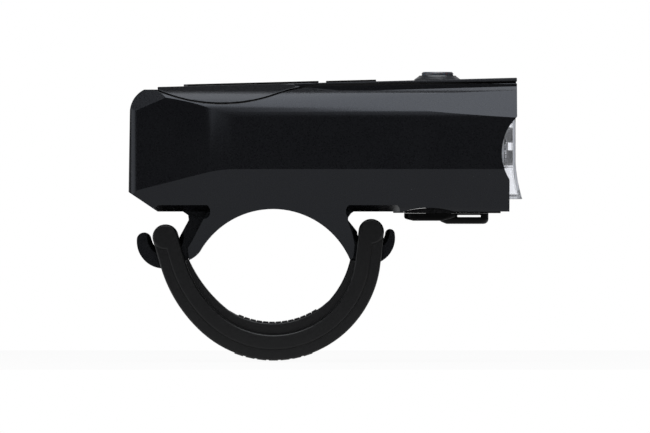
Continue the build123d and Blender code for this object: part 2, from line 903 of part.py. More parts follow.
def led_disc(rear, thick):
    shape = disc((rear, 0, optic_z), (1, 0, 0), led_board_radius, thick)
    for y, z in led_screw_places():
        shape -= disc((rear - over, y, z), (1, 0, 0), screw_radius + seat_fit, thick + 2 * over)
    return shape & block((0, big * 2), (-big, big), (0, board_z() - holder_play))


def make_led_board():
    return led_disc(led_face_x - led_board_thick, led_board_thick)


def make_led_board_screws():
    front = led_face_x
    screws = []
    for y, z in led_screw_places():
        shank = disc((front - screw_length, y, z), (1, 0, 0), screw_radius, screw_length)
        head = disc((front, y, z), (1, 0, 0), screw_head * 0.9, screw_head_thick * 0.7)
        screws.append(shank + head)
    return Compound(children=screws)


def make_thermal_pad():
    return led_disc(led_face_x - led_board_thick - pad_thick, pad_thick)


def make_heat_sink():
    high = board_z() - holder_play
    shape = block((sink_rear_x, sink_rear_x + sink_thick), (-sink_half, sink_half), (sink_low_z, high))
    pitch = 2 * sink_half / sink_fins
    for i in range(sink_fins - 1):
        y = -sink_half + pitch * (i + 1)
        shape -= block((sink_rear_x - over, sink_rear_x + sink_fin_depth),
                       (y - pitch / 4, y + pitch / 4), (sink_low_z - over, high + over))
    for y, z in led_screw_places():
        shape -= disc((led_face_x - screw_length - seat_fit, y, z),
                      (1, 0, 0), screw_radius + seat_fit, screw_length)
    foot = block((sink_rear_x + sink_fin_depth, sink_rear_x + sink_thick),
                 (-sink_half + pitch / 2, sink_half - pitch / 2), (floor_z, sink_low_z))
    return shape + foot


def lug_places():
    run = cradle_front_x - cradle_rear_x
    rear = cradle_rear_x + run * 0.12
    front = cradle_front_x - run * 0.12
    y = cradle_half - screw_head - seat_fit
    return [(x, side * y) for x in (rear, front) for side in (1, -1)]


def make_battery_cradle():
    low = floor_z + cradle_lift
    high = board_z()
    inner = cell_radius + cell_play
    shape = block((cradle_rear_x, cradle_front_x), (-cradle_half, cradle_half), (low, high))
    shape -= block((cradle_rear_x - over, cradle_front_x + over), (-inner, inner), (cell_z, high + over))
    mid = (cradle_rear_x + cradle_front_x) / 2
    for offset_x in (-cradle_window, 0, cradle_window):
        hole = Pos(mid + offset_x * 1.2, 0, cell_z + cell_radius * 0.2) * Box(
            cradle_window * 0.8, cradle_half * 3, cell_radius)
        shape -= hole
    for x, y in lug_places():
        shape += Pos(x, y, high - lug_drop / 2) * Box(lug_width, lug_width, lug_drop)
    shape -= disc((cradle_rear_x - over, 0, cell_z), (1, 0, 0), inner,
                  cradle_front_x - cradle_rear_x + 2 * over)
    for x, y in lug_places():
        shape -= disc((x, y, high - screw_length), (0, 0, 1), screw_radius + seat_fit, screw_length + over)
    foot_y = cradle_half * 0.6
    foot = block((cradle_rear_x, cradle_front_x), (-foot_y, foot_y), (floor_z, low))
    return shape + foot


def make_battery_cell():
    can = disc((cell_rear_x, 0, cell_z), (1, 0, 0), cell_radius, cell_length - cell_cap_thick)
    can = fillet(can.edges().filter_by(GeomType.CIRCLE), cell_cap_thick)
    cap = disc((cell_rear_x + cell_length - cell_cap_thick * 2, 0, cell_z), (1, 0, 0),
               cell_cap_radius, cell_cap_thick * 2)
    return can + cap


def make_battery_tabs():
    high = board_z()
    low = cell_z - tab_half
    rear_x = cell_rear_x - tab_thick
    front_x = cell_rear_x + cell_length
    rear = block((rear_x, cell_rear_x), (-tab_half, tab_half), (low, high))
    rear += block((rear_x, board_rear_x + tab_half), (-tab_half, tab_half), (high - tab_thick, high))
    front = block((front_x, front_x + tab_thick), (-tab_half, tab_half), (low, high))
    return Compound(children=[rear, front])


def make_cell_foam():
    start = board_rear_x + tab_half * 2
    end = cradle_front_x - tab_half
    low = cell_z + cell_radius + foam_play
    return block((start, end), (-foam_half, foam_half), (low, board_z()))


def make_main_board():
    low = board_z()
    shape = block((board_rear_x, board_front_x), (-cradle_half, cradle_half), (low, low + board_thick))
    shape = chamfer(shape.edges().filter_by(Axis.Z), cradle_half / 8)
    for x, y in lug_places():
        shape -= disc((x, y, low - over), (0, 0, 1), screw_radius + seat_fit, board_thick + 2 * over)
    return shape


def make_board_screws():
    top = board_z() + board_thick
    screws = []
    for x, y in lug_places():
        shank = disc((x, y, top - screw_length), (0, 0, 1), screw_radius, screw_length)
        screws.append(shank + disc((x, y, top), (0, 0, 1), screw_head, screw_head_thick))
    return Compound(children=screws)


def make_board_chips():
    # Shares of the board's length and half width, then sizes as shares of its half width.
    chip_shares = [
        (0.16, 0.35, 0.50, 0.38, 0.10),
        (0.30, -0.40, 0.36, 0.36, 0.10),
        (0.47, 0.38, 0.30, 0.30, 0.09),
        (0.53, -0.45, 0.26, 0.20, 0.08),
        (0.78, 0.05, 0.42, 0.42, 0.14),
        (0.82, -0.45, 0.24, 0.18, 0.09),
    ]
    top = board_z() + board_thick
    run = board_front_x - board_rear_x
    chips = []
    for along, across, long_share, wide_share, tall_share in chip_shares:
        tall = tall_share * cradle_half
        chip = Pos(board_rear_x + along * run, across * cradle_half, top + tall / 2) * Box(
            long_share * cradle_half, wide_share * cradle_half, tall)
        chips.append(chip)
    return Compound(children=chips)


def make_status_leds():
    top = board_z() + board_thick
    count = 4
    pitch = (status_front_x - status_rear_x) / count
    size = pitch * 0.5
    leds = []
    for i in range(count):
        x = status_rear_x + pitch * (i + 0.5)
        leds.append(Pos(x, 0, top + size / 4) * Box(size, size * 0.7, size / 2))
    return Compound(children=leds)


def make_usb_board():
    face = (usb_board_x, usb_board_x + usb_board_thick)
    return block(face, (-usb_board_half, usb_board_half), (floor_z + usb_lift, board_z()))


def make_usb_port():
    x = usb_board_x + usb_board_thick + usb_port_thick / 2
    low = floor_z + usb_lift
    face = RectangleRounded(usb_port_thick, 2 * usb_port_half, usb_port_thick * 0.48)
    shell = Pos(x, 0, low) * extrude(face, usb_port_height)
    inside = RectangleRounded(usb_port_thick - 2 * usb_shell, 2 * (usb_port_half - usb_shell),
                              (usb_port_thick - 2 * usb_shell) * 0.48)
    shell -= Pos(x, 0, low - over) * extrude(inside, usb_port_height - usb_shell * 3 + over)
    tongue = Pos(x, 0, low + usb_port_height / 2 + usb_shell) * Box(
        usb_shell * 2, usb_port_half * 1.5, usb_port_height - usb_shell * 2)
    return shell + tongue


def make_led_leads():
    # Two short leads from the main board's top over its edge to the LED board's face.
    top = board_z() + board_thick
    leads = []
    for side in (1, -1):
        y = side * led_offset * 0.75
        start_x = board_front_x - wire_radius * 3
        end_x = led_face_x + wire_radius
        rise = wire_radius * 3.4
        path = FilletPolyline(
            (start_x, y, top), (start_x, y, top + rise), (end_x, y, top + rise),
            (end_x, y, optic_z + led_board_radius * 0.72), radius=wire_radius * 1.8,
        )
        ring = Plane(origin=path @ 0, z_dir=path % 0) * Circle(wire_radius)
        leads.append(sweep(ring, path))
    return Compound(children=leads)


def strap_path():
    # Middle line of the strap: shares of half the span between the bars, and of the drop.
    half_span = (right_cup_x - left_cup_x) / 2
    mid_x = (right_cup_x + left_cup_x) / 2
    line_shares = [(-0.925, 0.558), (-0.551, -0.579), (0.787, -0.306), (0.962, 0.512)]
    points = [(mid_x + a * half_span, b * strap_drop) for a, b in line_shares]
    lead = Line((left_cup_x, left_cup_z), points[0])
    rear = TangentArc(lead @ 1, points[1], tangent=lead % 1)
    low = TangentArc(rear @ 1, points[2], tangent=rear % 1)
    front = TangentArc(low @ 1, points[3], tangent=low % 1)
    return lead, rear, low, front, Line(front @ 1, (right_cup_x, right_cup_z))


def grip_pad_face():
    # The inner edge stands proud of the strap; the rest of the outline lies inside it.
    half_span = (right_cup_x - left_cup_x) / 2
    mid_x = (right_cup_x + left_cup_x) / 2
    edge_shares = [
        (-0.768, 0.598), (-0.586, 0.05), (-0.39, -0.32), (0.04, -0.565),
        (0.59, -0.14), (0.71, 0.19), (0.79, 0.59),
    ]
    back_shares = [(0.9, 0.5), (0.787, -0.306), (0.05, -0.99), (-0.551, -0.579), (-0.84, 0.52)]
    edge = [(mid_x + a * half_span, b * strap_drop) for a, b in edge_shares]
    back = [(mid_x + a * half_span, b * strap_drop) for a, b in back_shares]
    line = ThreePointArc(edge[0], edge[1], edge[2])
    line += ThreePointArc(edge[2], edge[3], edge[4])
    line += ThreePointArc(edge[4], edge[5], edge[6])
    return make_face(line + Polyline(edge[6], *back, edge[0]))


def grip_rib_solids(arc):
    # Ribs across the outer face, spread along the lowest arc.
    radius = arc.edge().radius
    centre = arc.edge().arc_center
    pitch = grip_span / grip_ribs
    ribs = []
    for i in range(grip_ribs):
        turn = math.degrees((i - (grip_ribs - 1) / 2) * pitch / radius)
        depth = grip_rib_rise + strap_radius / 2
        rib = Pos(0, 0, -radius - strap_radius - grip_rib_rise + depth / 2) * Box(
            grip_rib_width, 2 * (strap_half - grip_rib_width), depth)
        ribs.append(Pos(centre.X, 0, centre.Y) * Rot(0, -turn, 0) * rib)
    return ribs


def make_mount_strap():
    path = strap_path()
    line = path[0] + path[1] + path[2] + path[3] + path[4]
    shape = side_solid(make_face(offset(line, strap_radius, side=Side.BOTH)), strap_half)
    shape += side_solid(grip_pad_face(), grip_half)
    for rib in grip_rib_solids(path[2]):
        shape += rib
    for cup, hook, radius in (
        ((left_cup_x, left_cup_z), (left_hook_x, left_hook_z), left_hook_radius),
        ((right_cup_x, right_cup_z), (right_hook_x, right_hook_z), right_hook_radius),
    ):
        slot = side_solid(Pos(*hook) * Circle(radius + hook_gap), hook_half + rail_gap)
        slot &= block((-big, big), (-big, big), (-big, cup[1] + strap_radius + over))
        shape -= slot
        shape += side_solid(Pos(*cup) * Circle(strap_radius - bar_step), strap_half - bar_step)
    return shape


def flap_plug_face():
    half_x = port_half_x - flap_plug_play
    half_y = port_half_y - flap_plug_play
    return Pos(port_x, 0) * RectangleRounded(2 * half_x, 2 * half_y, half_x * 0.9)


def flap_top():
    return body_bottom - seat_thick - flap_gap


def make_port_seat():
    shape = side_solid(seat_profile(0), seat_half)
    return shape - port_slot(seat_fit, body_bottom - over, floor_z + over)


def make_port_cover():
    top = flap_top()
    low = top - flap_thick
    body = polygon(
        (seat_rear_x, top), (flap_front_x, top), (flap_front_x, low),
        (seat_rear_x + flap_rear_chamfer * 1.5, low), (seat_rear_x, low + flap_rear_chamfer / 2),
    )
    shape = side_solid(body, flap_half)
    corners = shape.edges().filter_by(Axis.Z)
    shape = fillet(corners, flap_half / 3)
    tab_height = top - tab_bottom_z
    tab = polygon(
        (tab_rear_x, low), (tab_rear_x + tab_height / 2, tab_bottom_z),
        (tab_front_x, tab_bottom_z), (tab_front_x, top), (tab_rear_x, top),
    )
    ends = tab.vertices().group_by(Axis.X)[-1]
    tab = fillet(ends.sort_by(Axis.Y)[0], tab_height * 0.45)
    tab = fillet(tab.vertices().sort_by(Axis.X)[-2:].sort_by(Axis.Y)[-1], tab_height * 0.2)
    shape += side_solid(tab, tab_width_half)
    slit = block((slit_rear_x, slit_front_x), (-big, big), (slit_low_z, slit_high_z))
    shape -= fillet(slit.edges().filter_by(Axis.Y), (slit_high_z - slit_low_z) * 0.45)
    return shape + plan_solid(flap_plug_face(), top, top + flap_plug_height)


def make_port_cover_anchor():
    low = body_bottom - anchor_thick
    strip = block((anchor_rear_x, seat_rear_x - seat_fit * 2), (-anchor_half, anchor_half),
                  (low, body_bottom))
    peg = disc((anchor_peg_x, 0, body_bottom), (0, 0, 1), anchor_peg_radius, anchor_peg_height)
    return strip + peg


pieces = {
    "housing": make_housing,
    "top_cover": make_top_cover,
    "cover_gasket": make_cover_gasket,
    "top_inlay": make_top_inlay,
    "status_window": make_status_window,
    "status_leds": make_status_leds,
    "button_bezel": make_button_bezel,
    "power_button": make_power_button,
    "tact_switch": make_tact_switch,
    "switch_plunger": make_switch_plunger,
    "front_lens": make_front_lens,
    "lens_gasket": make_lens_gasket,
    "collimator": make_collimator,
    "optic_holder": make_optic_holder,
    "led_emitters": make_led_emitters,
    "led_board": make_led_board,
    "led_board_screws": make_led_board_screws,
    "thermal_pad": make_thermal_pad,
    "heat_sink": make_heat_sink,
    "led_leads": make_led_leads,
    "main_board": make_main_board,
    "board_chips": make_board_chips,
    "board_screws": make_board_screws,
    "battery_cell": make_battery_cell,
    "battery_tabs": make_battery_tabs,
    "cell_foam": make_cell_foam,
    "battery_cradle": make_battery_cradle,
    "usb_board": make_usb_board,
    "usb_port": make_usb_port,
    "port_seat": make_port_seat,
    "port_cover": make_port_cover,
    "port_cover_anchor": make_port_cover_anchor,
    "mount_strap": make_mount_strap,
}

os.makedirs("parts", exist_ok=True)
for name, make in pieces.items():
    export_step(make(), f"parts/{name}.step")
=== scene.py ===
import math

import bpy
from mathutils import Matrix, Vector


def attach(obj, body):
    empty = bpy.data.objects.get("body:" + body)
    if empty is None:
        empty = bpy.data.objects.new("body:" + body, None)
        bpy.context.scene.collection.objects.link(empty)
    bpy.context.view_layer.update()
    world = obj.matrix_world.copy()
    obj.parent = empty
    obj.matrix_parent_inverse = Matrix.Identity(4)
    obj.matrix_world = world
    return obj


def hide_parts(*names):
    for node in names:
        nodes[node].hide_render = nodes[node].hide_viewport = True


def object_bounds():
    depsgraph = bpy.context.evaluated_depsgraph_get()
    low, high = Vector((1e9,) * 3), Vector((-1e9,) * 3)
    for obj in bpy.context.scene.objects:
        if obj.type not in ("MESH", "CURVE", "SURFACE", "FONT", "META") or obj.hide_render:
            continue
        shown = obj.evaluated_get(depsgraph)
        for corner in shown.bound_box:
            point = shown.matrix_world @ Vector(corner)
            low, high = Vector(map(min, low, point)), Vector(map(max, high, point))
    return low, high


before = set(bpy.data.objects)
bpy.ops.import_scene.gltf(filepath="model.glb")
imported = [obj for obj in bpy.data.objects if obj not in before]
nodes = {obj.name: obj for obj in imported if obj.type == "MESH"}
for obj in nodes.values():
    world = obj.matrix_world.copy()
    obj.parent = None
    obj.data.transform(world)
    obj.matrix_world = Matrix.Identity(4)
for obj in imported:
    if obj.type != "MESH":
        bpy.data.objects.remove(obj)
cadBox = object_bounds()
mm = 0.001
print("frame loaded:", len(nodes), "nodes")


# small helpers

def linear(hexText):
    # sRGB hex to the linear colour that the shaders take
    parts = [int(hexText[i:i + 2], 16) / 255 for i in (1, 3, 5)]
    return [p / 12.92 if p <= 0.04045 else ((p + 0.055) / 1.055) ** 2.4 for p in parts] + [1]


def addNode(tree, kind, sockets=None, **settings):
    # sockets: input name or number -> a value, or an output socket to link from
    node = tree.nodes.new(kind)
    for name, value in settings.items():
        setattr(node, name, value)
    for name, value in (sockets or {}).items():
        if isinstance(value, bpy.types.NodeSocket):
            tree.links.new(value, node.inputs[name])
        else:
            node.inputs[name].default_value = value
    return node


materials = {}


def newMaterial(name, **sockets):
    # a Principled material; socket names are written with _ for a space
    material = bpy.data.materials.new(name)
    material.use_nodes = True
    materials[name] = material
    tree = material.node_tree
    shader = tree.nodes["Principled BSDF"]
    for key, value in sockets.items():
        shader.inputs[key.replace("_", " ")].default_value = value
    place = addNode(tree, "ShaderNodeTexCoord").outputs["Object"]
    return tree, shader, place


def grain(tree, place, sizeMm, detail=2.0, rough=0.5):
    # noise whose lumps are about sizeMm across
    noise = addNode(tree, "ShaderNodeTexNoise",
                    {"Vector": place, "Scale": 1 / (sizeMm * mm), "Detail": detail,
                     "Roughness": rough})
    return noise.outputs["Fac"]


def colourFrom(tree, shader, source, places, hexTexts):
    # the base colour goes from the first tone to the second as the source rises
    ramp = addNode(tree, "ShaderNodeValToRGB", {"Fac": source})
    for step, place, hexText in zip(ramp.color_ramp.elements, places, hexTexts):
        step.position = place
        step.color = linear(hexText)
    tree.links.new(ramp.outputs["Color"], shader.inputs["Base Color"])


def roughnessFrom(tree, shader, source, low, high, **fromSpan):
    # fromSpan: From_Min and From_Max, where the source doesn't run from 0 to 1
    sockets = {"Value": source, "To Min": low, "To Max": high}
    sockets.update({key.replace("_", " "): value for key, value in fromSpan.items()})
    span = addNode(tree, "ShaderNodeMapRange", sockets)
    tree.links.new(span.outputs["Result"], shader.inputs["Roughness"])


def bumpFrom(tree, shader, height, strength, depthMm):
    bump = addNode(tree, "ShaderNodeBump",
                   {"Height": height, "Strength": strength, "Distance": depthMm * mm})
    tree.links.new(bump.outputs["Normal"], shader.inputs["Normal"])


# moulded materials

mould = {
    "ior": 1.5,
    "flowMm": 9.0, "flowDetail": 3.0, "flowPlaces": (0.35, 0.65),    # tones left by the flow
    "grainDetail": 2.0, "grainRough": 0.6, "grainLow": 0.3, "grainHigh": 0.7, "grainDeepMm": 0.02,
    "sheenSwing": 0.05,                                               # roughness either way
}


def moulded(name, dark, light, roughness, grainMm, bumpStrength, specular=0.5, tint=(1, 1, 1)):
    # spark eroded grain, and a slow change of tone from flow in the mould
    tree, shader, place = newMaterial(name, IOR=mould["ior"], Specular_IOR_Level=specular,
                                      Specular_Tint=(*tint, 1))
    flow = grain(tree, place, mould["flowMm"], mould["flowDetail"])
    colourFrom(tree, shader, flow, mould["flowPlaces"], (dark, light))
    fine = grain(tree, place, grainMm, mould["grainDetail"], mould["grainRough"])
    roughnessFrom(tree, shader, fine, roughness - mould["sheenSwing"],
                  roughness + mould["sheenSwing"],
                  From_Min=mould["grainLow"], From_Max=mould["grainHigh"])
    bumpFrom(tree, shader, fine, bumpStrength, mould["grainDeepMm"])
    return shader


# ABS/PC, matt moulded: near black, a broad soft gloss on the upper facets
moulded("mattMouldedPcAbs", "#070709", "#0a0a0c", 0.3, 0.3, 0.2,
        specular=0.34, tint=(0.87, 0.91, 1))
# the lid is the same kind of plastic in a greyer shade with a finer, silkier grain
moulded("satinMouldedPcAbs", "#0a0a0c", "#0e0e10", 0.3, 0.25, 0.2,
        specular=0.34, tint=(0.9, 0.93, 1))
# glossy black polycarbonate of the port plate and lid plates: smooth, with clear reflections
moulded("glossBlackPolycarbonate", "#08080a", "#0c0c0e", 0.2, 0.4, 0.05)
# compression moulded strap rubber: deep black, satin, a thin light line along its edges
moulded("mouldedStrapRubber", "#030304", "#070708", 0.36, 0.35, 0.35, specular=0.36)
# softer rubber of the port cover: the blackest surface, with hardly any shine
moulded("mouldedFlapRubber", "#010101", "#020202", 0.42, 0.35, 0.3, specular=0.12)
# silicone of the seals: dull black, so that the seam reads as a dark line
moulded("siliconeSeal", "#050507", "#08080a", 0.5, 0.3, 0.2)
# milky silicone of the button: soft grey that light goes a little way into
silicone = moulded("milkySilicone", "#3c3d41", "#484a4f", 0.34, 0.4, 0.15)
silicone.inputs["Subsurface Weight"].default_value = 0.25
silicone.inputs["Subsurface Scale"].default_value = 0.8 * mm
# satin ABS of the button's cone: dark grey, a soft ring of light round the cap
moulded("satinGreyAbs", "#1c1d20", "#242528", 0.32, 0.3, 0.15)
# pale holder behind the optics: brightens what is seen through them
moulded("paleHolderPolycarbonate", "#c9cacd", "#d2d3d6", 0.35, 0.4, 0.1)
# glass filled nylon of the inner parts: dull charcoal with a visible grain
moulded("blackInnerNylon", "#17171a", "#1e1e21", 0.5, 0.4, 0.3)
# epoxy of the chips: flat black, finely sanded
moulded("chipEpoxy", "#101012", "#161618", 0.42, 0.2, 0.3)
# shrink wrap of the cell: shiny blue film that ripples a little
moulded("blueShrinkWrap", "#17477f", "#1d528e", 0.28, 1.2, 0.1)
# insulation of the leads: smooth waxy red
moulded("redLeadInsulation", "#8f120c", "#a01810", 0.35, 0.4, 0.1)
# gap pad: chalky grey putty
moulded("greyGapPad", "#8d92a0", "#9a9eab", 0.6, 0.3, 0.4)
# foam round the cell: dark and open pored, no shine at all
moulded("darkCellFoam", "#2b2b2d", "#3a3a3c", 0.8, 0.25, 0.9)
# white solder mask of the light source's board: clean, slightly glossy
moulded("whiteSolderMask", "#dcdedb", "#e6e7e4", 0.32, 0.5, 0.1)
# ceramic filled package of the status lights: bright off-white
moulded("whiteLedPackage", "#dcddd8", "#e8e8e4", 0.3, 0.3, 0.1)


# clear plastics

clear = {"waveMm": 6.0, "waveDetail": 1.0, "waveStrength": 0.08, "waveDeepMm": 0.05,
         "depthTint": "#b9bcc2"}


def clearPlastic(name, tint, roughness, ior, density):
    # see-through with a faint moulding wave, and greyer where it is seen along the wall
    tree, shader, place = newMaterial(name, Base_Color=linear(tint), Roughness=roughness, IOR=ior,
                                      Transmission_Weight=1.0)
    wave = grain(tree, place, clear["waveMm"], clear["waveDetail"])
    bumpFrom(tree, shader, wave, clear["waveStrength"], clear["waveDeepMm"])
    depth = addNode(tree, "ShaderNodeVolumeAbsorption",
                    {"Color": linear(clear["depthTint"]), "Density": density})
    tree.links.new(depth.outputs["Volume"], tree.nodes["Material Output"].inputs["Volume"])


# polished polycarbonate of the window: clear, with grey edges
clearPlastic("clearLensPolycarbonate", "#fbfcff", 0.02, 1.585, 55)
# acrylic of the optics: a clearer, sharper glint than the window
clearPlastic("clearOpticAcrylic", "#ffffff", 0.01, 1.49, 35)


# metals

drawn = {"stretch": (0.08, 1, 1), "detail": 2.0, "smoother": 0.08, "rougher": 0.1,
         "streakStrength": 0.15, "streakDeepMm": 0.01}


def metal(name, colour, roughness, streakMm):
    # drawn or rolled metal: fine streaks along X
    tree, shader, place = newMaterial(name, Metallic=1.0, Base_Color=linear(colour))
    along = addNode(tree, "ShaderNodeMapping", {"Vector": place, "Scale": drawn["stretch"]})
    streak = grain(tree, along.outputs["Vector"], streakMm, drawn["detail"])
    roughnessFrom(tree, shader, streak, roughness - drawn["smoother"],
                  roughness + drawn["rougher"])
    bumpFrom(tree, shader, streak, drawn["streakStrength"], drawn["streakDeepMm"])


# zinc plated screws: cool bright grey with soft reflections
metal("zincPlatedSteel", "#a9abae", 0.34, 0.3)
# machined aluminium of the heat sink: pale, fine cutting lines
metal("machinedAluminium", "#c9cbce", 0.32, 0.25)
# nickel strip of the cell's tabs: warm grey, lightly rolled
metal("nickelStrip", "#b9b3a6", 0.3, 0.3)
# stamped stainless of the port's shell: the smoothest metal here
metal("stampedStainless", "#a8a9ab", 0.28, 0.3)


# circuit board and light sources

board = {"pitchMm": 3.2, "lineWide": 0.03, "lineStrength": 0.2, "lineDeepMm": 0.03}


def boardMaterial():
    # green solder mask over copper tracks that show as faint lines
    tree, shader, place = newMaterial("greenSolderMask", Roughness=0.3, IOR=1.5)
    tracks = addNode(tree, "ShaderNodeTexBrick",
                     {"Vector": place, "Scale": 1 / (board["pitchMm"] * mm),
                      "Color1": linear("#0f4a2a"), "Color2": linear("#12522f"),
                      "Mortar": linear("#1f6a40"), "Mortar Size": board["lineWide"]})
    tree.links.new(tracks.outputs["Color"], shader.inputs["Base Color"])
    bumpFrom(tree, shader, tracks.outputs["Fac"], board["lineStrength"], board["lineDeepMm"])


phosphor = {"spotMm": 0.5, "places": (0.3, 0.7), "tones": ("#d9b32a", "#ecd257")}


def phosphorMaterial():
    # yellow phosphor in spots of two tones under a clear silicone dome, which adds a glint
    tree, shader, place = newMaterial("ledPhosphor", Roughness=0.15, IOR=1.41, Coat_Weight=0.6)
    spots = grain(tree, place, phosphor["spotMm"])
    colourFrom(tree, shader, spots, phosphor["places"], phosphor["tones"])


boardMaterial()
phosphorMaterial()

# which finish each CAD node shows
finishes = {
    "housing": "mattMouldedPcAbs", "top_cover": "satinMouldedPcAbs", "cover_gasket": "siliconeSeal",
    "top_inlay": "glossBlackPolycarbonate", "status_window": "glossBlackPolycarbonate",
    "status_leds": "whiteLedPackage", "button_bezel": "satinGreyAbs",
    "power_button": "milkySilicone", "tact_switch": "chipEpoxy",
    "switch_plunger": "blackInnerNylon",
    "front_lens": "clearLensPolycarbonate", "lens_gasket": "siliconeSeal",
    "collimator": "clearOpticAcrylic", "optic_holder": "paleHolderPolycarbonate",
    "led_emitters": "ledPhosphor", "led_board": "whiteSolderMask",
    "led_board_screws": "zincPlatedSteel", "thermal_pad": "greyGapPad",
    "heat_sink": "machinedAluminium", "led_leads": "redLeadInsulation",
    "main_board": "greenSolderMask", "board_chips": "chipEpoxy", "board_screws": "zincPlatedSteel",
    "battery_cell": "blueShrinkWrap", "battery_tabs": "nickelStrip", "cell_foam": "darkCellFoam",
    "battery_cradle": "blackInnerNylon", "usb_board": "greenSolderMask",
    "usb_port": "stampedStainless", "port_seat": "glossBlackPolycarbonate",
    "port_cover": "mouldedFlapRubber", "port_cover_anchor": "mouldedFlapRubber",
    "mount_strap": "mouldedStrapRubber",
}
for nodeName, finish in finishes.items():
    mesh = nodes[nodeName].data
    mesh.materials.clear()
    mesh.materials.append(materials[finish])
print("materials:", len(materials))


# tools for shaping pieces by hand

def nothingSelected():
    if bpy.context.object and bpy.context.object.mode != "OBJECT":
        bpy.ops.object.mode_set(mode="OBJECT")
    bpy.ops.object.select_all(action="DESELECT")


def only(piece):
    # selects this piece alone and makes it the active one
    nothingSelected()
    piece.select_set(True)
    bpy.context.view_layer.objects.active = piece


def editing(piece):
    # in edit mode with all of its mesh selected
    only(piece)
    bpy.ops.object.mode_set(mode="EDIT")
    bpy.ops.mesh.select_all(action="SELECT")


def settle(piece):
    # puts the piece's place into its mesh, so that its object sits at the origin
    only(piece)
    bpy.ops.object.transform_apply(location=True, rotation=True, scale=True)
    return piece


def withModifier(piece, kind, **settings):
    # a modifier that is applied at once
    only(piece)
    modifier = piece.modifiers.new(kind.lower(), kind)
    for name, value in settings.items():
        setattr(modifier, name, value)
    bpy.ops.object.modifier_apply(modifier=modifier.name)
    return piece


def rounded(piece, width, segments=3, degrees=50):
    return withModifier(piece, "BEVEL", width=width * mm, segments=segments,
                        limit_method="ANGLE", angle_limit=math.radians(degrees))


def outwards(piece):
    # merges doubled points and turns every face to look out
    editing(piece)
    bpy.ops.mesh.remove_doubles(threshold=0.001 * mm)
    bpy.ops.mesh.normals_make_consistent(inside=False)
    bpy.ops.object.mode_set(mode="OBJECT")
    return piece


def smooth(piece, degrees):
    # smooth shading up to the angle given, with the large faces kept flat
    only(piece)
    bpy.ops.object.shade_smooth_by_angle(angle=math.radians(degrees))
    return withModifier(piece, "WEIGHTED_NORMAL", keep_sharp=True)


def chosen(piece, kind, test):
    # in edit mode, leaves selected the faces, edges or vertices whose place passes the test
    editing(piece)
    bpy.ops.mesh.select_mode(type=kind)
    bpy.ops.mesh.select_all(action="DESELECT")
    bpy.ops.object.mode_set(mode="OBJECT")
    if kind == "FACE":
        for face in piece.data.polygons:
            face.select = test(face.center / mm, face.normal)
    elif kind == "VERT":
        for vertex in piece.data.vertices:
            vertex.select = test(vertex.co / mm)
    else:
        points = [v.co / mm for v in piece.data.vertices]
        for edge in piece.data.edges:
            a, b = (points[i] for i in edge.vertices)
            edge.select = test((a + b) / 2, (b - a).normalized())
    bpy.ops.object.mode_set(mode="EDIT")


def finished(piece, name, bodyName, slotName, finish, *replaced):
    piece.name = name
    piece.data.name = name
    piece.data.materials.clear()
    piece.data.materials.append(materials[finish])
    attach(piece, bodyName)
    if replaced:
        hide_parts(*replaced)
    print(name, len(piece.data.polygons), "faces")


def boxAt(x, y, z, turn=0.0):
    # a block from its lowest to its highest places, turned about Y round its middle
    nothingSelected()
    middle = [(low + high) / 2 * mm for low, high in (x, y, z)]
    bpy.ops.mesh.primitive_cube_add(size=mm, location=middle, rotation=(0, turn, 0))
    box = bpy.context.object
    box.scale = (x[1] - x[0], y[1] - y[0], z[1] - z[0])
    return settle(box)


def barAt(x, z, radius, halfWide):
    # a round bar across the lamp, along Y
    nothingSelected()
    bpy.ops.mesh.primitive_cylinder_add(
        vertices=64, radius=radius * mm, depth=2 * halfWide * mm,
        location=(x * mm, 0, z * mm), rotation=(math.pi / 2, 0, 0))
    return settle(bpy.context.object)


def cutBy(piece, other, operation="DIFFERENCE"):
    # a Boolean with another piece, which is then thrown away
    withModifier(piece, "BOOLEAN", object=other, operation=operation, solver="EXACT")
    bpy.data.objects.remove(other)
    return piece


def joined(pieces):
    nothingSelected()
    for piece in pieces:
        piece.select_set(True)
    bpy.context.view_layer.objects.active = pieces[0]
    bpy.ops.object.join()
    return pieces[0]


# housing and lid: the CAD's own form with its edges eased as a mould leaves them

body = {
    "half": 17.0, "flankZ": (28.2, 39.9),          # the upright flank
    "lowerSlope": 0.54, "flareSlope": 0.58,        # how fast it draws in below and above the flank
    "flareX": (23.7, 55.5), "deckHalf": (13.4, 12.5),    # the flare, and the deck at its ends
    "flareTopZ": (46.1, 47.65),                    # where the flare's facet ends
    "seam": ((12.3, 47.08), (57.5, 47.73)),        # lid seam over the flare, X and Z
    "wedgeY": (12.0, 14.0), "wedgeZ": (46.0, 48.0),
    "cornerPlace": (-23.3, 16.25, 43.66), "cornerNormal": (-0.325, 0.812, 0.483),
    "cornerX": (-40, -15), "cornerY": (5.0, 25.0), "cornerZ": (30, 60),
    "edge": 0.16, "edgeAngle": 22, "smoothAngle": 28, "flatAngle": 0.6,
}


def copyOf(nodeName):
    # a merged copy of a CAD node, whose own mesh is left as it is
    original = nodes[nodeName]
    piece = original.copy()
    piece.data = original.data.copy()
    bpy.context.scene.collection.objects.link(piece)
    return outwards(piece)


def trimmed(piece, place, normal):
    # cuts off what is beyond the plane
    editing(piece)
    bpy.ops.mesh.bisect(plane_co=[v * mm for v in place], plane_no=normal,
                        use_fill=True, clear_outer=True)
    bpy.ops.object.mode_set(mode="OBJECT")
    return piece


def onSide(side, span):
    # a span across Y, on the right (1) or as its mirror image on the left (-1)
    return sorted(side * y for y in span)


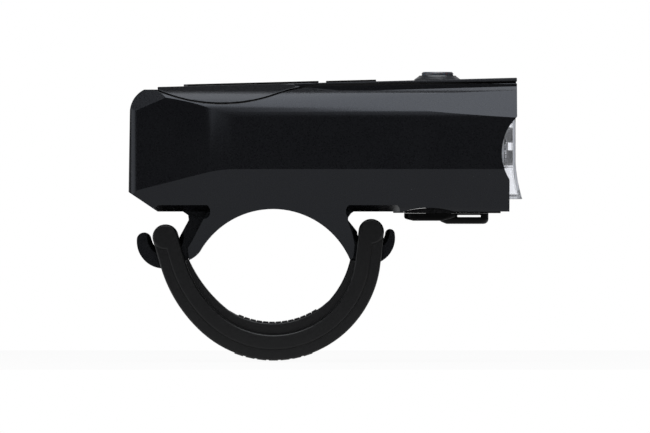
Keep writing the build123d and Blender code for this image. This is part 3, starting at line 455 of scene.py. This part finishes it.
def flareWedge(side):
    # carries the facet of the flare up to the lid's seam
    (deckRear, deckFront), (lowZ, highZ) = body["deckHalf"], body["flareTopZ"]
    wedge = boxAt(body["flareX"], onSide(side, body["wedgeY"]), body["wedgeZ"])
    trimmed(wedge, (0, side * deckRear, lowZ), (0, side * (highZ - lowZ), deckRear - deckFront))
    (x, z), (endX, endZ) = body["seam"]
    return trimmed(wedge, (x, 0, z), (z - endZ, 0, endX - x))


def outlineAt(z):
    # half width of the body's outside at its front end
    low, high = body["flankZ"]
    below, above = max(0, low - z), max(0, z - high)
    return body["half"] - below * body["lowerSlope"] - above * body["flareSlope"]


def eased(piece, width=body["edge"], clamp=False):
    # small rounds on every edge between facets
    withModifier(piece, "BEVEL", width=width * mm, segments=2, limit_method="ANGLE",
                 angle_limit=math.radians(body["edgeAngle"]), use_clamp_overlap=clamp,
                 miter_outer="MITER_ARC")
    return smooth(piece, body["smoothAngle"])


def flattened(piece):
    # turns the CAD's triangles into whole faces
    editing(piece)
    bpy.ops.mesh.dissolve_limited(angle_limit=math.radians(body["flatAngle"]))
    bpy.ops.object.mode_set(mode="OBJECT")
    return piece


def cornerCut(side):
    # what the soft corner takes off where the shoulder, the flank and the rear meet
    mirror = Vector((1, side, 1))
    place, normal = Vector(body["cornerPlace"]) * mirror, Vector(body["cornerNormal"]) * mirror
    cutter = boxAt(body["cornerX"], onSide(side, body["cornerY"]), body["cornerZ"])
    return trimmed(cutter, place, -normal)


def buildBodyShell():
    shell = copyOf("housing")
    for side in (-1, 1):
        cutBy(shell, flareWedge(side), "UNION")
        cutBy(shell, cornerCut(side))
    return eased(flattened(outwards(shell)), clamp=True)


lid = {
    "lip": ((54.2, 55.3), (-12.0, 12.0), (47.3, 48.3)),    # inside the seam at the front
    "uprightX": 21.0, "uprightZ": 48.0, "rimY": (11.4, 13.2),    # whose points are moved out
    "inset": 0.12,                                               # from the deck's edge
}


def deckHalfAt(x):
    # the deck's half width narrows along the flare
    (x1, x2), (y1, y2) = body["flareX"], body["deckHalf"]
    return y1 + (y2 - y1) * max(0, x - x1) / (x2 - x1)


def buildLidShell():
    # beside the flare the lid's side stands upright
    shell = cutBy(copyOf("top_cover"), boxAt(*lid["lip"]), "UNION")
    flattened(outwards(shell))
    rimLow, rimHigh = lid["rimY"]
    for vertex in shell.data.vertices:
        x, y, z = vertex.co / mm
        if x > lid["uprightX"] and z > lid["uprightZ"] and rimLow < abs(y) < rimHigh:
            vertex.co.y = math.copysign(deckHalfAt(x) - lid["inset"], y) * mm
    return eased(shell)


finished(buildBodyShell(), "bodyShell", "light", "body_plastic", "mattMouldedPcAbs", "housing")
finished(buildLidShell(), "lidShell", "light", "cover_plastic", "satinMouldedPcAbs", "top_cover")


# front window and the twin optic behind it

window = {"x": 53.0, "z": (22.6, 39.0), "inset": 2.2, "thinner": 0.9, "edge": 0.1}
optic = {
    "offset": 6.2, "z": 33.4, "rearRadius": 4.55, "frontRadius": 4.25, "x": (53.2, 54.5),
    "rim": 0.45, "dish": 1.7, "dishDeep": 0.55,
    "notchX": (53.45, 55.0), "notchY": (-12, 12), "notchZ": (32.5, 34.3),
}


def buildWindow():
    # the wall of its face is thinned from the inside, to the same slim line that its side shows
    pane = flattened(copyOf("front_lens"))
    low, high = window["z"]
    chosen(pane, "VERT", lambda place: place.x > window["x"] and low < place.z < high
           and abs(place.y) < outlineAt(place.z) - window["inset"])
    bpy.ops.transform.translate(value=(window["thinner"] * mm, 0, 0))
    bpy.ops.object.mode_set(mode="OBJECT")
    return eased(pane, window["edge"])


def buildTwinOptic():
    # each optic ends in a dished ring that reaches forward to the window
    twin = copyOf("collimator")
    rear, front = optic["x"]
    for side in (-1, 1):
        nothingSelected()
        bpy.ops.mesh.primitive_cone_add(
            vertices=72, radius1=optic["rearRadius"] * mm, radius2=optic["frontRadius"] * mm,
            depth=(front - rear) * mm, rotation=(0, math.pi / 2, 0),
            location=((rear + front) / 2 * mm, side * optic["offset"] * mm, optic["z"] * mm))
        ring = settle(bpy.context.object)
        chosen(ring, "FACE", lambda place, normal: normal.x > 0.9)
        bpy.ops.mesh.inset(thickness=optic["rim"] * mm)
        bpy.ops.mesh.inset(thickness=optic["dish"] * mm, depth=-optic["dishDeep"] * mm)
        bpy.ops.object.mode_set(mode="OBJECT")
        cutBy(twin, ring, "UNION")
    # a notch through the rims, level with the light sources
    cutBy(twin, boxAt(optic["notchX"], optic["notchY"], optic["notchZ"]))
    return smooth(outwards(twin), 30)


finished(buildWindow(), "frontWindow", "light", "clear_lens", "clearLensPolycarbonate",
         "front_lens")
finished(buildTwinOptic(), "twinOptic", "light", "clear_optic", "clearOpticAcrylic",
         "collimator")


# rubber strap

strap = {
    "cups": ((-24.5, 12.75), (22.4, 14.0)),        # middles of its end bars, X and Z
    "hooks": ((-24.85, 11.76, 6.18), (21.77, 12.56, 6.06)),    # X, Z and radius of each hook
    "stops": ((-22.74, 6.75), (-13.97, -7.01), (17.41, -3.7), (21.51, 6.2)),    # ends of its turns
    "lowest": (-1.05, -12.1),                      # a place on the turn between the middle stops
    "halfThick": 2.9, "halfWide": 9.0, "edge": 0.45, "turnSteps": 26, "smoothAngle": 30,
    "ridge": 0.55, "stepIn": 0.4, "longer": 0.3,   # the step along its side
    "barRound": 0.5, "barInset": 0.03,
    "slotHalf": 4.35, "slotGap": 0.5,              # what the hook passes through
    "barStep": 0.2, "barOver": 0.8,                # the thinner bar that the hook holds
    "ribs": 7, "ribWide": 2.1, "ribHalf": 6.9, "ribHigh": 0.33, "ribSpan": 18.6, "ribTurn": 0,
}
ribEdge = 0.1


def sectionAt(place, heading, inner, outer, halfWide):
    # the strap's section as a flat face, square to the way it is going to be pushed
    out = Vector((heading.y, -heading.x))
    middle = place + out * (inner + outer) / 2
    nothingSelected()
    bpy.ops.mesh.primitive_plane_add(
        size=mm, location=(middle.x * mm, 0, middle.y * mm),
        rotation=(0, math.atan2(-out.y, out.x), 0))
    face = bpy.context.object
    face.scale = (outer - inner, 2 * halfWide, 1)
    return settle(face)


def pushed(step):
    # the selected section, straight on
    bpy.ops.mesh.extrude_region_move(
        TRANSFORM_OT_translate={"value": (step.x * mm, 0, step.y * mm)})


def spun(centre, angle, steps):
    # the selected section, round a bend
    bpy.ops.mesh.spin(steps=steps, angle=angle, center=(centre.x * mm, 0, centre.y * mm),
                      axis=(0, 1, 0))


def turned(vector, angle):
    return Vector((vector.x * math.cos(angle) - vector.y * math.sin(angle),
                   vector.x * math.sin(angle) + vector.y * math.cos(angle)))


def bandBetween(inner, outer, halfWide, longer=0):
    # pushed out of the rear bar, spun round three turns that run into each other, and on to
    # the front bar; both ends can reach a little further into the bars
    rear, front = (Vector(cup) for cup in strap["cups"])
    stops = [Vector(stop) for stop in strap["stops"]]
    heading = (stops[0] - rear).normalized()
    here = rear - heading * longer
    band = sectionAt(here, heading, inner, outer, halfWide)
    editing(band)
    pushed(stops[0] - here)
    here = stops[0]
    for target in stops[1:]:
        across = turned(heading, math.pi / 2)
        chord = target - here
        centre = here + across * chord.length_squared / (2 * chord.dot(across))
        angle = 2 * math.atan2(chord.dot(across), chord.dot(heading))
        spun(centre, angle, strap["turnSteps"])
        heading = turned(heading, angle)
        here = target
    last = front - here
    pushed(last + last.normalized() * longer)
    bpy.ops.object.mode_set(mode="OBJECT")
    return outwards(band)


def ribsAcross(centre, radius, spec):
    # a row of rounded ribs along an arc
    pitch = spec["ribSpan"] / spec["ribs"]
    ribs = []
    for i in range(spec["ribs"]):
        turn = (i - (spec["ribs"] - 1) / 2) * pitch / radius + spec["ribTurn"]
        middle = centre + turned(Vector((0, -radius)), turn)
        rib = boxAt((middle.x - spec["ribWide"] / 2, middle.x + spec["ribWide"] / 2),
                    (-spec["ribHalf"], spec["ribHalf"]),
                    (middle.y - spec["ribHigh"], middle.y + spec["ribHigh"]), -turn)
        ribs.append(rounded(rib, ribEdge, 2))
    return joined(ribs)


def arcCentre(a, b, c):
    # centre of the circle through three points
    ab, ac = b - a, c - a
    d = 2 * (ab.x * ac.y - ab.y * ac.x)
    return a + Vector((ac.y * ab.length_squared - ab.y * ac.length_squared,
                       ab.x * ac.length_squared - ac.x * ab.length_squared)) / d


def buildStrapBand():
    # two bands that leave a step along the side, a bar and a slot at each end, ribs below;
    # points are merged after each cut, so that the next one starts from a closed mesh
    thick, wide, slot = strap["halfThick"], strap["halfWide"], strap["slotHalf"]
    band = bandBetween(-thick, strap["ridge"], wide)
    outer = bandBetween(-strap["ridge"], thick, wide - strap["stepIn"], strap["longer"])
    cutBy(rounded(band, strap["edge"]), rounded(outer, strap["edge"]), "UNION")
    for cupX, cupZ in strap["cups"]:
        end = barAt(cupX, cupZ, thick, wide - strap["barInset"])
        outwards(cutBy(band, rounded(end, strap["barRound"]), "UNION"))
    for (cupX, cupZ), (hookX, hookZ, hookRadius) in zip(strap["cups"], strap["hooks"]):
        outwards(cutBy(band, barAt(hookX, hookZ, hookRadius + strap["slotGap"], slot)))
        bar = barAt(cupX, cupZ, thick - strap["barStep"], slot + strap["barOver"])
        outwards(cutBy(band, bar, "UNION"))
    rear, front = (Vector(stop) for stop in strap["stops"][1:3])
    centre = arcCentre(rear, Vector(strap["lowest"]), front)
    cutBy(band, ribsAcross(centre, (rear - centre).length + thick, strap), "UNION")
    return smooth(outwards(band), strap["smoothAngle"])


finished(buildStrapBand(), "strapBand", "light", "strap_rubber", "mouldedStrapRubber",
         "mount_strap")


# ribbed pad that grips the handlebar

gripPad = {
    # places on its inner edge, X and Z: the ends of three arcs and a place on each
    "edge": ((-19.28, 7.85), (-14.79, 0.6), (-10.2, -3.87), (-0.11, -6.84), (12.79, -1.69),
             (15.6, 2.3), (17.62, 7.82)),
    "thick": 3.4, "halfWide": 6.2, "edgeRound": 0.35, "turnSteps": 12,
    "ribs": 13, "ribWide": 1.28, "ribHalf": 5.7, "ribHigh": 0.3, "ribSpan": 18.8, "ribTurn": 0.07,
}


def buildGripPad():
    # spun round its three arcs
    edge = [Vector(place) for place in gripPad["edge"]]
    first = arcCentre(edge[0], edge[1], edge[2])
    heading = turned(edge[0] - first, math.pi / 2).normalized()
    pad = sectionAt(edge[0], heading, 0, gripPad["thick"], gripPad["halfWide"])
    editing(pad)
    for i in (0, 2, 4):
        centre = arcCentre(edge[i], edge[i + 1], edge[i + 2])
        angle = (edge[i] - centre).angle_signed(edge[i + 2] - centre)
        spun(centre, -angle, gripPad["turnSteps"])
    bpy.ops.object.mode_set(mode="OBJECT")
    rounded(outwards(pad), gripPad["edgeRound"])
    centre = arcCentre(edge[2], edge[3], edge[4])
    cutBy(pad, ribsAcross(centre, (edge[3] - centre).length, gripPad), "UNION")
    return smooth(outwards(pad), 30)


finished(buildGripPad(), "strapGripPad", "light", "strap_rubber", "mouldedStrapRubber")


# rubber cover of the charging port: a domed flap on a living hinge, with a slotted pull tab

flap = {
    "x": (29.9, 42.0), "halfWide": 7.5, "z": (16.46, 18.17), "cornerRound": 2.4, "edge": 0.5,
    "rearSlope": (32.0, 0.5), "frontSlope": (38.4, 0.95),    # where each slope starts, its rise
    "tabX": (37.6, 49.1), "tabHalf": 5.0, "tabZ": (15.75, 18.19),
    "tabSlope": (39.6, 0.75), "tabCorner": 2.2, "tabRound": 1.1,
    "slitX": (42.0, 47.4), "slitY": (-8, 8), "slitZ": (17.32, 17.76), "slitRound": 0.15,
    "plugX": (34.85, 40.55), "plugHalf": 5.75, "plugZ": (18.0, 19.6),
    "plugCorner": 2.5, "plugEdge": 0.3, "smoothAngle": 35,
}
near, facing = 0.1, 0.9    # how close a place, and how square a face or an edge, has to be


def sloped(box, x, rise, side):
    # cuts the block across at x and lifts the underside of the end on that side
    editing(box)
    bpy.ops.mesh.bisect(plane_co=(x * mm, 0, 0), plane_no=(1, 0, 0))
    low = min(v.co.z for v in box.data.vertices) / mm
    chosen(box, "VERT", lambda place: (place.x - x) * side > near and place.z < low + near)
    bpy.ops.transform.translate(value=(0, 0, rise * mm))
    bpy.ops.object.mode_set(mode="OBJECT")
    return box


def easedRim(piece, side, width, segments):
    # rounds the rim of the faces that look down (side -1) or up (side 1)
    chosen(piece, "FACE", lambda place, normal: normal.z * side > facing)
    bpy.ops.mesh.region_to_loop()
    bpy.ops.mesh.bevel(offset=width * mm, segments=segments)
    bpy.ops.object.mode_set(mode="OBJECT")
    return piece


def easedCorners(piece, corner, xs, segments=6):
    # rounds the upright corners at the given ends
    chosen(piece, "EDGE", lambda place, way: abs(way.z) > facing
           and min(abs(place.x - x) for x in xs) < near)
    bpy.ops.mesh.bevel(offset=corner * mm, segments=segments)
    bpy.ops.object.mode_set(mode="OBJECT")
    return piece


def buildPortFlap():
    # dome, tab with its slit, and the plug that goes into the port
    half, tabHalf, plugHalf = flap["halfWide"], flap["tabHalf"], flap["plugHalf"]
    dome = boxAt(flap["x"], (-half, half), flap["z"])
    sloped(dome, *flap["rearSlope"], -1)
    sloped(dome, *flap["frontSlope"], 1)
    easedRim(easedCorners(dome, flap["cornerRound"], flap["x"]), -1, flap["edge"], 4)
    tab = boxAt(flap["tabX"], (-tabHalf, tabHalf), flap["tabZ"])
    sloped(tab, *flap["tabSlope"], -1)
    easedRim(easedCorners(tab, flap["tabCorner"], flap["tabX"][1:]), -1, flap["tabRound"], 5)
    slit = boxAt(flap["slitX"], flap["slitY"], flap["slitZ"])
    cutBy(outwards(tab), rounded(slit, flap["slitRound"]))
    cutBy(outwards(dome), tab, "UNION")
    plug = boxAt(flap["plugX"], (-plugHalf, plugHalf), flap["plugZ"])
    easedRim(easedCorners(plug, flap["plugCorner"], flap["plugX"], 8), 1, flap["plugEdge"], 2)
    cutBy(dome, outwards(plug), "UNION")
    return smooth(outwards(dome), flap["smoothAngle"])


finished(buildPortFlap(), "portFlap", "flap", "cover_rubber", "mouldedFlapRubber", "port_cover")


anchor = {
    "x": (27.4, 29.8), "half": 3.0, "z": (18.26, 18.56), "corner": 1.0, "edge": 0.1,
    "pegX": 28.5, "pegRadius": 0.9, "pegHigh": 1.5, "pegSunk": 0.05, "pegEdge": 0.2,
}


def buildFlapAnchor():
    # the strip that the flap hangs from, held by a peg pressed into the body
    half = anchor["half"]
    strip = boxAt(anchor["x"], (-half, half), anchor["z"])
    easedRim(easedCorners(strip, anchor["corner"], anchor["x"][:1]), -1, anchor["edge"], 2)
    pegZ = anchor["z"][1] + anchor["pegHigh"] / 2 - anchor["pegSunk"]
    nothingSelected()
    bpy.ops.mesh.primitive_cylinder_add(
        vertices=32, radius=anchor["pegRadius"] * mm, depth=anchor["pegHigh"] * mm,
        location=(anchor["pegX"] * mm, 0, pegZ * mm))
    peg = rounded(settle(bpy.context.object), anchor["pegEdge"])
    cutBy(outwards(strip), peg, "UNION")
    return smooth(outwards(strip), flap["smoothAngle"])


finished(buildFlapAnchor(), "flapAnchor", "light", "cover_rubber", "mouldedFlapRubber",
         "port_cover_anchor")


# floor, backdrop, lights, camera

studio = {
    "floorSize": 0.56, "floorPlace": (0.01, 0.06, cadBox[0][2] - 0.02 * mm),
    "floorShade": 0.06,       # share of the floor's own shading that the camera sees
    "backdropSize": 2.6, "backdropPlace": (0, 1.6, 0),
    "paper": "#b4b4b4",
    "glossy": 0.5,            # share of white that glossy surfaces see in the paper
    "lampTint": (0.94, 0.965, 1.0),
    "roomLevel": 0.05,
}


def seenStraight(tree, rays):
    # 1 for what the camera sees, also through clear plastic, and 0 for all else
    straight = addNode(tree, "ShaderNodeMath",
                       {0: rays.outputs["Is Camera Ray"], 1: rays.outputs["Is Transmission Ray"]},
                       operation="MAXIMUM")
    return straight.outputs[0]


def studioPaper(name, shade):
    # pale paper that the camera and clear surfaces see as white, and glossy ones by their share;
    # the share of shade keeps the object's shadow
    material = bpy.data.materials.new(name)
    material.use_nodes = True
    tree = material.node_tree
    tree.nodes.clear()
    out = addNode(tree, "ShaderNodeOutputMaterial")
    paper = addNode(tree, "ShaderNodeBsdfDiffuse", {"Color": linear(studio["paper"])})
    glow = addNode(tree, "ShaderNodeEmission", {"Color": linear("#ffffff"), "Strength": 1.0})
    rays = addNode(tree, "ShaderNodeLightPath")
    mirrored = addNode(tree, "ShaderNodeMath",
                       {0: rays.outputs["Is Glossy Ray"], 1: studio["glossy"]},
                       operation="MULTIPLY")
    seen = addNode(tree, "ShaderNodeMath",
                   {0: seenStraight(tree, rays), 1: mirrored.outputs[0]}, operation="MAXIMUM")
    share = addNode(tree, "ShaderNodeMath", {0: seen.outputs[0], 1: 1 - shade},
                    operation="MULTIPLY")
    mix = addNode(tree, "ShaderNodeMixShader",
                  {0: share.outputs[0], 1: paper.outputs[0], 2: glow.outputs[0]})
    tree.links.new(mix.outputs[0], out.inputs["Surface"])
    return material


def addStage(name, size, location, rotation, material):
    bpy.ops.mesh.primitive_plane_add(size=size, location=location, rotation=rotation)
    plane = bpy.context.object
    plane.name = name
    plane.data.materials.append(material)


addStage("studioFloor", studio["floorSize"], studio["floorPlace"], (0, 0, 0),
         studioPaper("palePaperFloor", studio["floorShade"]))
addStage("studioBackdrop", studio["backdropSize"], studio["backdropPlace"], (math.pi / 2, 0, 0),
         studioPaper("palePaperBackdrop", 0.0))

# the soft box above the camera's side gives the shoulders their grey gloss, the panel below it
# lets the gloss fade down towards the flanks, and the wide rear one lights the tail's round edge
lamps = {
    "overheadSoftbox": {"place": (0.0, -0.5, 1.0), "target": (0, -0.5, 0), "size": (1.0, 1.4),
                        "power": 18.5},
    "frontPanel": {"place": (0.0, -1.35, 0.65), "target": (0, 0, 0.03), "size": (0.6, 0.64),
                   "power": 1.9},
    "rearPanel": {"place": (-1.1, -0.3, 0.12), "target": (-0.03, 0, 0.03), "size": (1.1, 0.8),
                  "power": 4.2},
}


def addLamp(name, place, target, size, power):
    lamp = bpy.data.lights.new(name, "AREA")
    lamp.shape = "RECTANGLE"
    lamp.size, lamp.size_y = size
    lamp.energy = power
    lamp.color = studio["lampTint"]
    holder = bpy.data.objects.new(name, lamp)
    bpy.context.scene.collection.objects.link(holder)
    holder.location = place
    aim = Vector(target) - Vector(place)
    holder.rotation_euler = aim.to_track_quat("-Z", "Y").to_euler()


for lampName, spec in lamps.items():
    addLamp(lampName, **spec)


def dimWorld():
    # the room beyond the paper: white where it is seen straight, dim to all else
    world = bpy.data.worlds.new("dimStudio")
    world.use_nodes = True
    tree = world.node_tree
    strength = addNode(tree, "ShaderNodeMapRange",
                       {"Value": seenStraight(tree, addNode(tree, "ShaderNodeLightPath")),
                        "To Min": studio["roomLevel"], "To Max": 1.0})
    background = tree.nodes["Background"]
    background.inputs["Color"].default_value = linear("#ffffff")
    tree.links.new(strength.outputs["Result"], background.inputs["Strength"])
    bpy.context.scene.world = world


dimWorld()
print("studio: floor, backdrop and", len(lamps), "lamps")

# the photograph is 650 x 433 and 0.228 mm a pixel; its centre is at (325, 216.5)
view = {"centreX": 11.86, "centreZ": 17.44, "frameWidth": 148.2, "focal": 1000, "sensor": 36,
        "farEnd": 20}
camera = bpy.data.cameras.new("sideCamera")
camera.lens = view["focal"]
camera.sensor_width = view["sensor"]
camera.clip_end = view["farEnd"]
cameraHolder = bpy.data.objects.new("sideCamera", camera)
bpy.context.scene.collection.objects.link(cameraHolder)
distance = view["focal"] * view["frameWidth"] / view["sensor"] * mm
cameraHolder.location = (view["centreX"] * mm, -distance, view["centreZ"] * mm)
cameraHolder.rotation_euler = (math.pi / 2, 0, 0)
bpy.context.scene.camera = cameraHolder
print("camera at", round(distance, 3), "m")

bpy.context.scene.view_settings.view_transform = "Standard"
